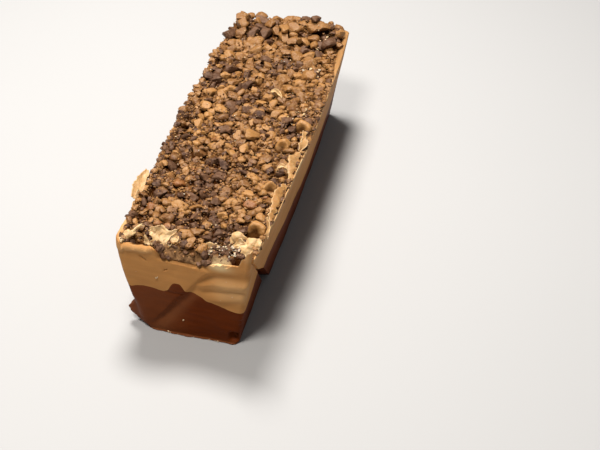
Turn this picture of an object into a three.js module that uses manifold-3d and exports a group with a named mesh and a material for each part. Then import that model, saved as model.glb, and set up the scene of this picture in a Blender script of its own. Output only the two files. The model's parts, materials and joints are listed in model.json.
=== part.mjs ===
// A moulded loaf of toffee fudge: a chocolate layer below, a toffee layer above, and a bed of
// crushed toffee and chocolate in the trough that the toffee layer's rim makes.
// Millimetres, +Z up. X runs across the loaf, +Y runs from its front end to its far end.
import * as THREE from "three";
import { ConvexGeometry } from "three/addons/geometries/ConvexGeometry.js";
import { mergeVertices } from "three/addons/utils/BufferGeometryUtils.js";
import Module from "manifold-3d";

// The mould: a tapered tin with slightly bowed long walls.
const BASE_LENGTH = 325;
const BASE_WIDTH = { front: 78, far: 81 }; // at the two ends
const BASE_BOW = 3.25; // each long wall, at mid-length
const RIM_WIDTH = { front: 100, far: 106 };
const RIM_BOW = 5.1;
const RIM_HEIGHT = 88;
const END_DRAFT = 5.6; // each end leans out this far at the rim
const CORNER_RADIUS = 4; // upright corners, in plan
const FOOT_RADIUS = 3; // edge between walls and base

// The front end as it was knifed: a swept-in left foot, the lip squeezed out there, a crease.
const SWEPT_FOOT = 6; // extra corner radius at the very base
const SWEPT_FOOT_HEIGHT = 30;
const LIP = { out: 6.5, station: 6, height: 17, long: 6, tall: 10 };
const CREASE = { x: -22, height: 14, toX: 21, toHeight: 76, depth: 1.6, width: 4 };

// The slanting knife cut that stands open in the right wall, and the wall set in before it.
const CUT_TOP = { station: 26, height: 60 };
const CUT_MIDDLE = { front: 39, back: 46, height: 44 };
const CUT_FOOT = { front: 75, back: 84 };
const CUT_DEPTH = 12;
const CUT_INSET = 3.4; // of the front part's foot, next to the cut

// Where the two fudges meet: a level with swirls, each a hump or hollow with a place and a spread.
const LAYER_HEIGHT = 42;
const SWIRLS = [
  { x: -30, station: 0, rise: 4.5, wide: 15, long: 30 },
  { x: -7, station: 0, rise: 12, wide: 5, long: 10 },
  { x: 5, station: 0, rise: 5, wide: 9, long: 25 },
  { x: 44, station: 8, rise: -7, wide: 18, long: 18 },
  { x: 48, station: 70, rise: 4, wide: 25, long: 40 },
  { x: 44, station: 185, rise: -9, wide: 30, long: 40 },
  { x: -44, station: 95, rise: 6, wide: 30, long: 40 },
  { x: -44, station: 200, rise: -7, wide: 30, long: 45 },
  { x: 0, station: 310, rise: 6, wide: 25, long: 40 },
];

// The trough in the toffee layer and its rim.
const BED_HEIGHT = 75;
const RIM_THICKNESS = 1.5;
const BANK_WIDTH = 12; // slope between rim and bed
const FRONT_RIM = [
  { x: -50, height: 83 },
  { x: -46, height: 86 },
  { x: -37, height: 86.3 },
  { x: -26, height: 88 },
  { x: -22.5, height: 85 },
  { x: -17.5, height: 78.5 },
  { x: -8, height: 77 },
  { x: 18, height: 76.7 },
  { x: 26, height: 79.6 },
  { x: 37, height: 86 },
  { x: 44, height: 88 },
]; // dips where the knife cut it down
const FRONT_BANK = 10;
const RIM_DROP = 1.5; // below the mould's own edge
const RIM_WAVES = [
  { height: 0.8, long: 17 },
  { height: 0.5, long: 7.3 },
];
const FLAP_THICKNESS = 2.4;
const FLAPS = [
  { side: -1, station: 0, rise: -2.5, long: 6 },
  { side: -1, station: 48, rise: 5, long: 10 },
  { side: 1, station: 3, rise: 8, long: 6 },
  { side: 1, station: 70, rise: 4, long: 18 },
  { side: 1, station: 117, rise: 5, long: 13 },
];

// The topping: a packed core, with broken pieces of toffee and chocolate pressed into it.
const CROWN_HEIGHT = 85.5;
const CROWN_WAVE = { height: 0.8, wide: 16, long: 18 };
const FAR_CROWN = { x: 15, station: 316, rise: 11.5, wide: 40, long: 16 };
const FRONT_SLOPE = 1; // rise of the topping's cut front edge for each millimetre inwards
const COVER = 1; // least depth of topping over the toffee fudge
const RIM_SHOWN = 2.4; // rim left bare round the topping
const PIECE_COUNT = 222;
const PIECE_LARGEST = 14.5;
const PIECE_SMALLEST = 7.5;
const PIECE_POINTS = 8;
const PIECE_WIDTH = { least: 0.65, most: 0.95 }; // as shares of its length
const PIECE_DEPTH = { least: 0.5, most: 0.75 };
const PIECE_KNOBBLY = { least: 0.8, most: 1.1 };
const PIECE_LIFT = 0.2; // its middle over the core's surface, as a share of its size
const PIECE_TILT = 0.6; // radians, at most
const PIECE_SPACING = 0.4; // least distance between two, as a share of their sizes together
const PIECE_TRIES = 40;
const PIECE_SEED = 20411;

// Torn flakes of pale fudge that lie on the topping behind the front edge.
const FLAKES = [
  { name: "fudge_flake_left", x: -22, station: 13, wide: 12, long: 8, curl: 2.5, turn: 0.2, lobes: 3 },
  { name: "fudge_flake_right", x: 35, station: 15, wide: 12, long: 8.5, curl: 3.5, turn: 0.5, lobes: 4 },
];
const FLAKE_THICKNESS = 1;
const FLAKE_LIFT = 0.6; // clear of the core's faceted surface
const FLAKE_RAGGED = 0.16;
const FLAKE_RIPPLE = 0.8;
const FLAKE_STEPS = { across: 8, along: 6 };
const FLAKE_MARGIN = { across: 1.15, along: 1.25 }; // kept free of broken pieces, times its size

const GAP = 0.3; // between pieces that lie on each other
const GOLDEN_ANGLE = Math.PI * (3 - Math.sqrt(5)); // spreads points evenly over a ball
const ACROSS_STEPS = 18;
const ALONG_STEPS = 24;
const LAYER_STEPS = 5;
const CORE_STEPS = { across: 14, along: 18 };

const { lerp, mapLinear, smoothstep } = THREE.MathUtils;
const hump = (distance, width) => Math.exp(-((distance / width) ** 2));
const wasm = await Module();
wasm.setup();

// Seeded, so that every build draws the same numbers from 0 to 1.
function seededDraws(seed) {
  let state = seed;
  return () => {
    state = (state * 48271) % 2147483647;
    return state / 2147483647;
  };
}

function roundedInset(distance, radius) {
  if (distance >= radius) return 0;
  return radius - Math.sqrt(radius ** 2 - (radius - distance) ** 2);
}

// Half the loaf's width at a station (from the front foot) and a height, before its edges are rounded.
function halfWidth(station, height) {
  const rise = height / RIM_HEIGHT;
  const along = station / BASE_LENGTH;
  const base = lerp(BASE_WIDTH.front, BASE_WIDTH.far, along);
  const rim = lerp(RIM_WIDTH.front, RIM_WIDTH.far, along);
  const bow = 1 - (2 * along - 1) ** 2;
  return lerp(base, rim, rise) / 2 + lerp(BASE_BOW, RIM_BOW, rise) * bow;
}

// What rounding, the squeezed lip and the cut take off one long wall.
function wallInset(side, station, height) {
  const swept = side < 0 ? SWEPT_FOOT * Math.max(0, 1 - height / SWEPT_FOOT_HEIGHT) : 0;
  let inset = roundedInset(station, CORNER_RADIUS + swept);
  inset += roundedInset(BASE_LENGTH - station, CORNER_RADIUS);
  inset += roundedInset(height, FOOT_RADIUS);
  if (side < 0) {
    inset -= LIP.out * hump(station - LIP.station, LIP.long) * hump(height - LIP.height, LIP.tall);
  } else if (height < CUT_TOP.height) {
    const share = height / CUT_TOP.height;
    const cutStation = lerp((CUT_FOOT.front + CUT_FOOT.back) / 2, CUT_TOP.station, share);
    if (station < cutStation) inset += (CUT_INSET * (1 - share ** 2) * station) / cutStation;
  }
  return inset;
}

// The soft crease that runs up the front face from left to right.
function creaseDepth(x, height) {
  const run = new THREE.Vector2(CREASE.toX - CREASE.x, CREASE.toHeight - CREASE.height);
  const from = new THREE.Vector2(x - CREASE.x, height - CREASE.height);
  const off = from.cross(run.normalize());
  return CREASE.depth * hump(off, CREASE.width) * smoothstep(height, 0, CREASE.height);
}

// A point of the loaf: across from −1 to 1 between the walls, station from the front foot, height.
function onLoaf(across, station, height) {
  const side = across < 0 ? -1 : 1;
  const x = across * (halfWidth(station, height) - wallInset(side, station, height));
  const along = (2 * station) / BASE_LENGTH - 1;
  const reach = BASE_LENGTH / 2 + (END_DRAFT * height) / RIM_HEIGHT - roundedInset(height, FOOT_RADIUS);
  const crease = creaseDepth(x, height) * Math.max(0, 1 - station / FRONT_BANK);
  return new THREE.Vector3(x, along * reach + crease, height);
}

function layerHeight(across, station) {
  const x = across * halfWidth(station, LAYER_HEIGHT);
  let height = LAYER_HEIGHT;
  for (const swirl of SWIRLS) {
    height += swirl.rise * hump(x - swirl.x, swirl.wide) * hump(station - swirl.station, swirl.long);
  }
  return height;
}

function rimHeight(side, station) {
  let height = RIM_HEIGHT - RIM_DROP;
  for (const wave of RIM_WAVES) height += wave.height * Math.sin(station / wave.long + side);
  return height;
}

// The thin flaps of fudge that stand up from the rim.
function flapHeight(side, station) {
  let height = 0;
  for (const flap of FLAPS) {
    if (flap.side === side) height += flap.rise * hump(station - flap.station, flap.long);
  }
  return height;
}

function frontRimHeight(x) {
  const next = FRONT_RIM.findIndex((point) => point.x > x);
  if (next === 0) return FRONT_RIM[0].height;
  if (next < 0) return FRONT_RIM.at(-1).height;
  const [left, right] = FRONT_RIM.slice(next - 1, next + 1);
  return mapLinear(x, left.x, right.x, left.height, right.height);
}

// The toffee layer's top: a flat trough that banks up to the rim.
function bedHeight(across, station) {
  const side = across < 0 ? -1 : 1;
  const half = halfWidth(station, RIM_HEIGHT);
  const edge = (1 - Math.abs(across)) * half;
  const rim = rimHeight(side, station) - BED_HEIGHT;
  const bank = (distance) => 1 - smoothstep(distance, RIM_THICKNESS, RIM_THICKNESS + BANK_WIDTH);
  const back = rim * bank(BASE_LENGTH - station);
  const front = (frontRimHeight(across * half) - BED_HEIGHT) * (1 - smoothstep(station, 2, FRONT_BANK));
  const flap = flapHeight(side, station) * (1 - smoothstep(edge, 0, FLAP_THICKNESS));
  return BED_HEIGHT + Math.max(rim * bank(edge), back, front) + flap;
}

// The topping core's top, which slopes down to the front rim where it was cut.
function crownHeight(across, station) {
  const x = across * halfWidth(station, RIM_HEIGHT);
  const heap = hump(x - FAR_CROWN.x, FAR_CROWN.wide) * hump(station - FAR_CROWN.station, FAR_CROWN.long);
  let crown = CROWN_HEIGHT + FAR_CROWN.rise * heap;
  const [ripple, swell] = [x / CROWN_WAVE.wide, station / CROWN_WAVE.long];
  crown += CROWN_WAVE.height * (Math.sin(ripple + swell) + Math.sin(swell - ripple));
  const cutEdge = frontRimHeight(x) + COVER + FRONT_SLOPE * Math.max(0, station - RIM_SHOWN);
  return Math.max(Math.min(crown, cutEdge), bedHeight(across, station) + COVER);
}

// A closed block: the points of a box's grid, from −1 to 1 each way, moved to their places.
// The underside's squares are split along the same diagonal as the top's, so that blocks stack.
function block(acrossSteps, alongSteps, upSteps, place) {
  const geometry = new THREE.BoxGeometry(2, 2, 2, acrossSteps, alongSteps, upSteps);
  const corners = geometry.index.array;
  const underside = geometry.groups[5];
  for (let i = underside.start; i < underside.start + underside.count; i += 6) {
    const [a, b, d, , c] = corners.slice(i, i + 6);
    corners.set([a, b, c, a, c, d], i);
  }
  const points = geometry.attributes.position;
  const exact = (value) => Math.round(value * 1e5) / 1e5;
  for (let i = 0; i < points.count; i += 1) {
    const placed = place(exact(points.getX(i)), exact(points.getY(i)), exact(points.getZ(i)));
    points.setXYZ(i, placed.x, placed.y, placed.z);
  }
  return merged(geometry);
}

function merged(geometry) {
  geometry.deleteAttribute("normal");
  geometry.deleteAttribute("uv");
  geometry.clearGroups();
  return mergeVertices(geometry, 1e-4);
}

function solidOf(geometry) {
  return new wasm.Manifold(
    new wasm.Mesh({
      numProp: 3,
      vertProperties: new Float32Array(geometry.attributes.position.array),
      triVerts: new Uint32Array(geometry.index.array),
    }),
  );
}

// The largest body of a solid, without loose scraps or sealed hollows.
function geometryOf(solid) {
  const bodies = solid.decompose();
  bodies.sort((one, other) => other.volume() - one.volume());
  const mesh = bodies[0].getMesh();
  const geometry = new THREE.BufferGeometry();
  geometry.setAttribute("position", new THREE.BufferAttribute(mesh.vertProperties, 3));
  geometry.setIndex(new THREE.BufferAttribute(mesh.triVerts, 1));
  return geometry;
}

// Grid lines lie closer together towards the walls and the ends, where the form turns.
const acrossAt = (share) => (share + Math.sin((share * Math.PI) / 2)) / 2;
const stationAt = (share) => BASE_LENGTH * (0.5 + 0.5 * Math.sin((share * Math.PI) / 2));

function layer(bottom, top, lowerBias) {
  return block(ACROSS_STEPS, ALONG_STEPS, LAYER_STEPS, (u, v, w) => {
    const [across, station] = [acrossAt(u), stationAt(v)];
    const share = ((w + 1) / 2) ** lowerBias;
    return onLoaf(across, station, lerp(bottom(across, station), top(across, station), share));
  });
}

// The wedge of air in the knife cut: wide at the wall, closing to an edge inside the loaf.
function knifeCut() {
  const { station: topStation, height: topHeight } = CUT_TOP;
  const mouth = [
    [topStation, topHeight],
    [CUT_MIDDLE.front, CUT_MIDDLE.height],
    [CUT_MIDDLE.back, CUT_MIDDLE.height],
    [CUT_FOOT.front + 1, -1],
    [CUT_FOOT.back + 1, -1],
  ].map(([station, height]) => outsideWall(station, height, CUT_DEPTH));
  const edge = [
    [topStation, topHeight],
    [CUT_FOOT.back, -1],
  ].map(([station, height]) => outsideWall(station, height, -CUT_DEPTH));
  return merged(new ConvexGeometry([...mouth, ...edge]));
}

function outsideWall(station, height, out) {
  const point = onLoaf(1, station, Math.max(height, FOOT_RADIUS));
  return new THREE.Vector3(point.x + out, point.y, height);
}

function toppingCore(floor) {
  return block(CORE_STEPS.across, CORE_STEPS.along, 1, (u, v, w) => {
    const station = lerp(RIM_SHOWN, BASE_LENGTH - RIM_SHOWN, stationAt(v) / BASE_LENGTH);
    const half = halfWidth(station, RIM_HEIGHT) - wallInset(1, station, RIM_HEIGHT);
    const across = (acrossAt(u) * (half - RIM_SHOWN)) / half;
    const height = w < 0 ? floor : crownHeight(across, station);
    const point = onLoaf(across, station, RIM_HEIGHT);
    return point.setZ(height);
  });
}

// One broken piece: the hull of points drawn on a flattened ball, turned and tilted.
function brokenPiece(size, draw) {
  const points = [];
  const between = ({ least, most }) => lerp(least, most, draw());
  for (let i = 0; i < PIECE_POINTS; i += 1) {
    const up = 2 * ((i + 0.5) / PIECE_POINTS) - 1;
    const turn = i * GOLDEN_ANGLE + draw();
    const ring = Math.sqrt(1 - up ** 2) * between(PIECE_KNOBBLY);
    points.push(new THREE.Vector3(ring * Math.cos(turn), ring * Math.sin(turn), up));
  }
  const geometry = new ConvexGeometry(points);
  geometry.scale(size / 2, (size / 2) * between(PIECE_WIDTH), (size / 2) * between(PIECE_DEPTH));
  geometry.rotateX(PIECE_TILT * (2 * draw() - 1));
  geometry.rotateY(PIECE_TILT * (2 * draw() - 1));
  geometry.rotateZ(2 * Math.PI * draw());
  return merged(geometry);
}

function coveredByFlake(x, station, size) {
  return FLAKES.some((flake) => {
    const across = (x - flake.x) / (flake.wide * FLAKE_MARGIN.across + size / 2);
    const along = (station - flake.station) / (flake.long * FLAKE_MARGIN.along + size / 2);
    return across ** 2 + along ** 2 < 1;
  });
}

// Broken pieces over the core, the largest first, each kept clear of the flakes and its neighbours.
function brokenPieces() {
  const draw = seededDraws(PIECE_SEED);
  const placed = [];
  const pieces = [];
  for (let i = 0; i < PIECE_COUNT; i += 1) {
    const size = lerp(PIECE_LARGEST, PIECE_SMALLEST, Math.sqrt(i / PIECE_COUNT));
    for (let tries = 0; tries < PIECE_TRIES; tries += 1) {
      const station = lerp(RIM_SHOWN + size / 2, BASE_LENGTH - RIM_SHOWN - size / 2, draw());
      const half = halfWidth(station, RIM_HEIGHT);
      const across = ((2 * draw() - 1) * (half - RIM_SHOWN - size / 2)) / half;
      const point = onLoaf(across, station, RIM_HEIGHT);
      const crowded = placed.some(
        (other) => Math.hypot(other.x - point.x, other.y - point.y) < PIECE_SPACING * (other.size + size),
      );
      if (crowded || coveredByFlake(point.x, station, size)) continue;
      placed.push({ x: point.x, y: point.y, size });
      const height = crownHeight(across, station) + PIECE_LIFT * size;
      pieces.push(brokenPiece(size, draw).translate(point.x, point.y, height));
      break;
    }
  }
  return pieces;
}

function topping(toffee) {
  const core = toppingCore(LAYER_HEIGHT + (BED_HEIGHT - LAYER_HEIGHT) / 2);
  const heap = wasm.Manifold.union([core, ...brokenPieces()].map(solidOf));
  const clearance = toffee.clone().translate(0, 0, GAP);
  return geometryOf(heap.subtract(solidOf(clearance)));
}

// A thin torn flake that follows the core's surface and curls up at one end.
function flakeShape(flake) {
  return block(FLAKE_STEPS.across, FLAKE_STEPS.along, 1, (u, v, w) => {
    const a = u * Math.sqrt(1 - v ** 2 / 2);
    const b = v * Math.sqrt(1 - u ** 2 / 2);
    const ragged = 1 + FLAKE_RAGGED * Math.sin(flake.lobes * Math.atan2(b, a) + flake.x) * Math.hypot(a, b);
    const torn = new THREE.Vector2(a * flake.wide, b * flake.long).multiplyScalar(ragged);
    torn.rotateAround(new THREE.Vector2(), flake.turn);
    const station = Math.max(flake.station + torn.y, RIM_SHOWN);
    const across = (flake.x + torn.x) / halfWidth(station, RIM_HEIGHT);
    const ripple = FLAKE_RIPPLE * (1 + Math.sin(flake.lobes * (a + b)));
    const curl = flake.curl * ((a + 1) / 2) ** 2;
    const underside = crownHeight(across, station) + FLAKE_LIFT + ripple + curl;
    const height = w > 0 ? underside + FLAKE_THICKNESS : underside;
    return onLoaf(across, station, RIM_HEIGHT).setZ(height);
  });
}

function addPiece(group, name, geometry, colour, roughness) {
  const material = new THREE.MeshStandardMaterial({ color: colour, roughness, metalness: 0 });
  const mesh = new THREE.Mesh(geometry, material);
  mesh.name = name;
  group.add(mesh);
}

const cut = solidOf(knifeCut());
const chocolate = layer(() => 0, layerHeight, 1.5);
const toffee = layer((across, station) => layerHeight(across, station) + GAP, bedHeight, 1);

const loaf = new THREE.Group();
addPiece(loaf, "chocolate_layer", geometryOf(solidOf(chocolate).subtract(cut)), "#54290f", 0.45);
addPiece(loaf, "toffee_layer", geometryOf(solidOf(toffee).subtract(cut)), "#a4713f", 0.45);
addPiece(loaf, "topping", topping(toffee), "#8a6242", 0.7);
for (const flake of FLAKES) {
  addPiece(loaf, flake.name, flakeShape(flake), "#e8c48c", 0.5);
}

export default loaf;
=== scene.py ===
"""A moulded loaf of toffee fudge on chocolate fudge, under a bed of crushed toffee and chocolate.

Shapes are worked out in millimetres and become metres when their mesh is made. X runs across the loaf
and +Y from its knifed front end to its far end. A station is a distance from the front foot. A pair
such as rise, left or far says where a fade starts and where it ends.
"""
import json
import math
from collections import namedtuple
from types import SimpleNamespace

import bmesh
import bpy
import numpy as np
from mathutils import Euler, Matrix, Vector, noise

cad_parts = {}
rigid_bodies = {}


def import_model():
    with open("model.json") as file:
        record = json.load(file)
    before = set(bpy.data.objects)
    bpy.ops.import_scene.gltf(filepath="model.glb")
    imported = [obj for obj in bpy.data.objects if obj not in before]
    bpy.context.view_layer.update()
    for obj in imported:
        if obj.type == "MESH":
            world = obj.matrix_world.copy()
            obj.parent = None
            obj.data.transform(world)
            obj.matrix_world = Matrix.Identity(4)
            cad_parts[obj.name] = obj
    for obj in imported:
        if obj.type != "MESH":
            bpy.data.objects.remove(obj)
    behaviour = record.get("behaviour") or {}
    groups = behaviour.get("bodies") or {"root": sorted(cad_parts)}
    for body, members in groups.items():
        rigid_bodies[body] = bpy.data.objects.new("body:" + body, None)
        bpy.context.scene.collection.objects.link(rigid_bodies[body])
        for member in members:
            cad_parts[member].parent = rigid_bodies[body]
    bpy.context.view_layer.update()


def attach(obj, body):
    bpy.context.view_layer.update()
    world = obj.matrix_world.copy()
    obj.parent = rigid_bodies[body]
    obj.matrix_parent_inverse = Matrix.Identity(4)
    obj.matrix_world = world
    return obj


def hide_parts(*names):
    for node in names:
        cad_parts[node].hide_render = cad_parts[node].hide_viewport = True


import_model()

MM = 0.001
Sizes = Site = SimpleNamespace

# The mould: a tapered tin with slightly bowed long walls. Pairs give its front and far ends.
BASE_LENGTH = 325
BASE_WIDTH = (78, 81)
BASE_BOW = 3.25
RIM_WIDTH = (100, 106)
RIM_BOW = 5.1
RIM_HEIGHT = 88
END_DRAFT = 5.6
CORNER_RADIUS = 4
FOOT_RADIUS = 3
WALL_WAVE = Sizes(height=0.45, long=30)
END_WAVE = Sizes(height=0.9, long=26)

# The knifed front end: a swept-in left foot, the ridged lip squeezed out there, folds and nicks.
SWEPT_FOOT = Sizes(inset=8, height=32)
LEFT_CORNER = Sizes(more=5, rise=(45, 80))
LEFT_FLARE = Sizes(out=5, rise=(22, 76), long=30)
LEFT_FOOT = Sizes(more=1.5, long=25)
LIP = Sizes(out=8.8, station=7.5, height=12, long=4.8, tall=9, thin=1.3)
LIP_RIDGES = Sizes(height=0.5, gap=3.2, slant=0.45)
LIP_GROOVE = Sizes(deep=2.2, station=3.2, long=1.5)
FRONT_BANK = 10
CREASE_HEIGHTS = (0, 12, 23.5, 39.6, 51, 65, 74.6)
CREASE_XS = (-33, -24, -16, -5.6, 3.5, 12.5, 21.3)
CREASE = Sizes(depth=3.4, edge=2.9, fade=10, slant=0.83, low=(4, 20), high=(66, 74))
FOLD_XS = (-19.4, -10.2, -0.9, 12.9, 20.5)
FOLD_HEIGHTS = (77.2, 75.9, 75.7, 75, 72.3)
FOLD = Sizes(depth=2, edge=0.8, left=(-24, -16), right=(14, 20))
# Darker colour on the toffee face above the fold: share, rise, depth back and side fades.
DARK_ABOVE_FOLD = Sizes(share=0.75, above=(0, 1.5), deep=8, left=(-23, -18), right=(12, 19))
# Each ridge: points along it, across and up, then its height and width.
RIDGES = (
    ((7.6, 20, 32, 46), (55, 59.5, 61, 63.5), 1.6, 3.8),
    ((7.6, 20, 32, 46), (56.3, 61.5, 63.3, 65.8), 0.7, 1.3),
    ((11, 23, 34, 42), (49.5, 53, 57, 58), -0.8, 2),
    ((14, 26, 42), (43.5, 46, 51.5), 1.1, 4),
    ((16, 28, 42), (67, 69.5, 71.5), -1, 4.2),
)
RIDGE_START = (-3, 5)
ROLL = Sizes(out=1.7, below=3.2, tall=2.4, left=(21, 28), pale=0.2)
BLOB_CRACK = Sizes(x=-8.5, half=7.5, height=45.6, sag=1.2, depth=0.9, width=0.7, power=8)
TAB = Sizes(x=48.5, out=1.6, wide=3.4, rise=(74, 84), power=6)
SMEAR = Sizes(x=26, height=80.5, wide=8, tall=4, station=3, long=4, flat=0.6, pale=0.85)
# Each nick: x, height, tilt, length, width and depth.
NICKS = ((-32, 75.9, -0.8, 2.6, 0.6, 1.4), (-15.1, 67.3, 0.6, 1.3, 0.6, 1.3))
CORNER_CHIP = Sizes(x=35.8, height=8.5, wide=3.4, tall=4.8, depth=4.6)
FOOT_LIP = Sizes(out=2, height=0.6, tall=0.7, uneven=0.35, long=9, thin=1.8)
EDGE_PINCHES = Sizes(height=0.9, gap=5, low=(16, 25), high=(80, 84), long=5)
# A painted sheen, paler colour on the right of the knifed face: x, height, width, tallness, share.
PAINTED_SHEEN = Sizes(x=37, height=58, wide=17, tall=11, share=0.25)
# Lighter chocolate on the face: a painted highlight on the crease's flank, lighter to the left.
FACE_LIGHTENING = Sizes(flank=0.6, off=5.5, wide=4.5, left=0.45, right=(-22, 6))
FACE_STATIONS = (1, 4)
PALE_FLAP = Sizes(rise=(88.5, 93), share=0.52, front=0.7)
PALE_RIM = Sizes(rise=(83.5, 86), share=0.36, deep=12)

# The slanting cut that stands open in the right wall, and the wall set in before it, by height.
CUT = Sizes(station=75, slant=0.817, fade=150, bottom=0.6)
CUT_HEIGHTS = (0, 44, 58, RIM_HEIGHT)
CUT_GAPS = (9, 7, 1.2, 0.8)
CUT_DEPTHS = (12, 12, 3, 1.6)
CUT_INSETS = (3.2, 2.4, 1.6, 1.3)

# Where the two fudges meet. Each swirl: x, station, rise, width, length, and how steep its sides are.
LAYER_HEIGHT = 42
SWIRLS = (
    (-30, 0, 4.5, 15, 30, 2),
    (-7, 0, 12, 5.6, 10, 3),
    (-13, 0, 3, 4, 10, 2),
    (5, 0, 5, 9, 25, 2),
    (44, 8, -7, 18, 18, 2),
    (48, 70, 4, 25, 40, 2),
    (44, 185, -9, 30, 40, 2),
    (-44, 95, 6, 30, 40, 2),
    (-44, 200, -7, 30, 45, 2),
    (0, 310, 6, 25, 40, 2),
)
SEAM_WAVE = Sizes(height=0.7, long=9)

# The trough in the toffee fudge, its rim and the thin flaps that stand up from it.
BED_HEIGHT = 75
RIM_THICKNESS = 1.5
BANK_WIDTH = 12
BANK_START = 2
FRONT_RIM_XS = (-50, -45, -37, -30, -25.6, -23.4, -20, -14.6, -2.4, 9, 17.5, 21, 25, 33, 43, 44.5, 46, 51)
FRONT_RIM_HEIGHTS = (
    83, 86, 87, 87, 88.3, 86.5, 80.5, 78.5, 77.5,
    77.2, 77.8, 80.5, 82, 83, 84, 87.5, 94.5, 96,
)
TONGUE = Sizes(left=(32, 38), bank=4.5)
RIM_ROUND = Sizes(radius=1.4, least=0.5, front=(4, 9), flap=0.25)
FRONT_ROUND_XS = (-28, -20, 30, 38)
FRONT_ROUNDS = (3.2, 0.7, 0.7, 0.9)
RIM_DROP = 1.5
RIM_WAVES = (Sizes(height=0.8, long=17), Sizes(height=0.5, long=7.3))
RIM_TORN = Sizes(height=0.7, long=5)
DUSTED_RIM = Sizes(station=303, long=55, rise=(84, 87), stain=0.5, hidden=0.4)
# Each flap: side, station, rise, length and thickness.
THIN = 1.5
FLAPS = (
    (-1, 0, -2.5, 6, THIN),
    (-1, 48, 5, 10, THIN),
    (1, 2, 7, 4, THIN),
    (1, 70, 4, 18, THIN),
    (1, 117, 5, 13, THIN),
    (1, 303, 2.5, 45, 7),
)

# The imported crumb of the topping, wiped smooth where the knife cut through it.
CROWN_HEIGHT = 85.5
CROWN_WAVE = Sizes(height=0.8, wide=16, long=18)
FAR_CROWN = Sizes(x=15, station=316, rise=11.5, wide=40, long=16)
FRONT_SLOPE = 1
COVER = 1
CORE_DROP = 2.1
RIM_SHOWN = 2.4
RIM_BARE = 1.3
BANK_COVER = Sizes(thick=0.8, front=(6, 14))
CORE_UNDER = Sizes(over_bed=0.1, thinnest=0.3)
WIPED = Sizes(left=(-26, -18), right=(30, 38), far=(6, 12), pieces=0.2)
# Each hollow: x, station, width, length and depth. A hollow holds fewer pieces the deeper it is.
HOLLOWS = ((39.5, 5.8, 5, 4, 13), (-38, 7, 7, 4.5, 6), (27, 3.6, 7.5, 2.6, 2))
HOLLOW_PIECES = 0.3
# Each size of grain: length, height and how much of it the knife wiped off.
CRUMB_GRAINS = ((6, 3, 0.2), (3.2, 1.8, 0.55), (1.7, 0.8, 0.9))
GRAIN_EDGE = 0.75

# The broken pieces, the large ones where the CAD places them. They are coarser towards the far end.
PIECE_SEED = 20411
PIECE_POINTS = 8
PIECE_WIDTH = (0.65, 0.95)
PIECE_DEPTH = (0.42, 0.68)
PIECE_TILT = 0.45
COARSER = (0.92, 1.3)
LARGE = Sizes(count=222, largest=14.5, smallest=7.5, spacing=0.4, tries=40, lift=0.6)
CRAGS = Sizes(count=24, largest=15, smallest=9, choices=1, lift=0.5, heap=9, stations=(285, 322))
MEDIUM = Sizes(count=1150, largest=11, smallest=4.5, choices=3, lift=0.35, heap=3.4, stations=(4, 328))
SMALL = Sizes(count=7200, largest=3.4, smallest=1.1, choices=2, lift=0.05, heap=8, stations=(4, 323))
OVERHANG = {-1: 0.1, 1: 0.3}
HEAP_MARGIN = 14.0
LEVEL_REACH = 0.25
# The flakes' clearings: x, station, and half their width and length.
CLEARINGS = ((-22, 13, 13.8, 10), (35, 15, 13.8, 10.625))
# Hollow broken bubbles of toffee: x, station, size and the way the hollow faces.
CUPS = (
    (42.5, 36, 14, (-0.1, -0.85, 0.45)),
    (14.4, 45, 8, (0.1, -0.75, 0.6)),
    (40, 86, 12, (0.1, -0.75, 0.6)),
    (36, 144, 12, (-0.1, -0.75, 0.6)),
    (46.5, 172, 14, (-0.2, -0.8, 0.5)),
    (51, 158, 9, (-0.3, -0.7, 0.6)),
)
CUP = Sizes(detail=4, lift=0.2, tall=0.9, tint=0.9)
# Chocolate chips beside the crumb that the knife wiped: x, station and size.
FRONT_CHIPS = (
    (-21, 4.5, 8), (-17.5, 2.8, 7), (-13.5, 2.4, 5), (10.5, 2.6, 6),
    (14.5, 4.5, 8), (17.5, 4.5, 6), (27, 6.5, 8), (32, 7.5, 7),
)
# Painted shade among the pieces: averaging reach, depth for full shade, and far-end deepening.
GAP_SHADE = Sizes(reach=5, deepest=3.2, far=2)
CHOCOLATE_SHARE = {"large": 0.34, "crags": 0.2, "chips": 2, "medium": 0.33, "small": 0.2}
CHOCOLATE_PATCHES = Sizes(share=0.65, long=34, front=0.16, front_long=40)
FAR_TINT = {"toffee": 0.4, "chocolate": 1}
FAR_TINT_SHARE = 0.7

# Shapes of broken pieces: balls pressed flat by planes round them, then roughened.
SHAPES = {
    "large": Sizes(detail=3, count=12),
    "medium": Sizes(detail=2, count=24),
    "small": Sizes(detail=1, count=12),
}
TOFFEE_BREAK = Sizes(planes=(7, 10), press=(0.58, 1.0), sharpness=24, lumps=0.12, edge=40)
CHOCOLATE_BREAK = Sizes(planes=(7, 10), press=(0.52, 0.95), sharpness=20, lumps=0.08, edge=36)
CUP_BREAK = Sizes(planes=(14, 16), press=(0.88, 1.0), sharpness=9, lumps=0.07, edge=60)
DIMPLE = Sizes(every=5, wide=0.55, deep=0.3, tilt=1.4, power=4)
CUP_HOLLOW = Sizes(every=1, wide=0.85, deep=0.72, tilt=0.2, power=8)
HOLLOW_UP = 0.8
PLANE_DRAW = Sizes(up=0.3, most=0.98, turn=1.2)
LUMP_LONGS = (0.8, 0.38)
LONGEST = 1.25
GOLDEN_ANGLE = math.pi * (3 - math.sqrt(5))
PIECE_ATTRIBUTES = {"form": "FLOAT_VECTOR", "turns": "FLOAT_VECTOR", "number": "INT"}

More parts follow.
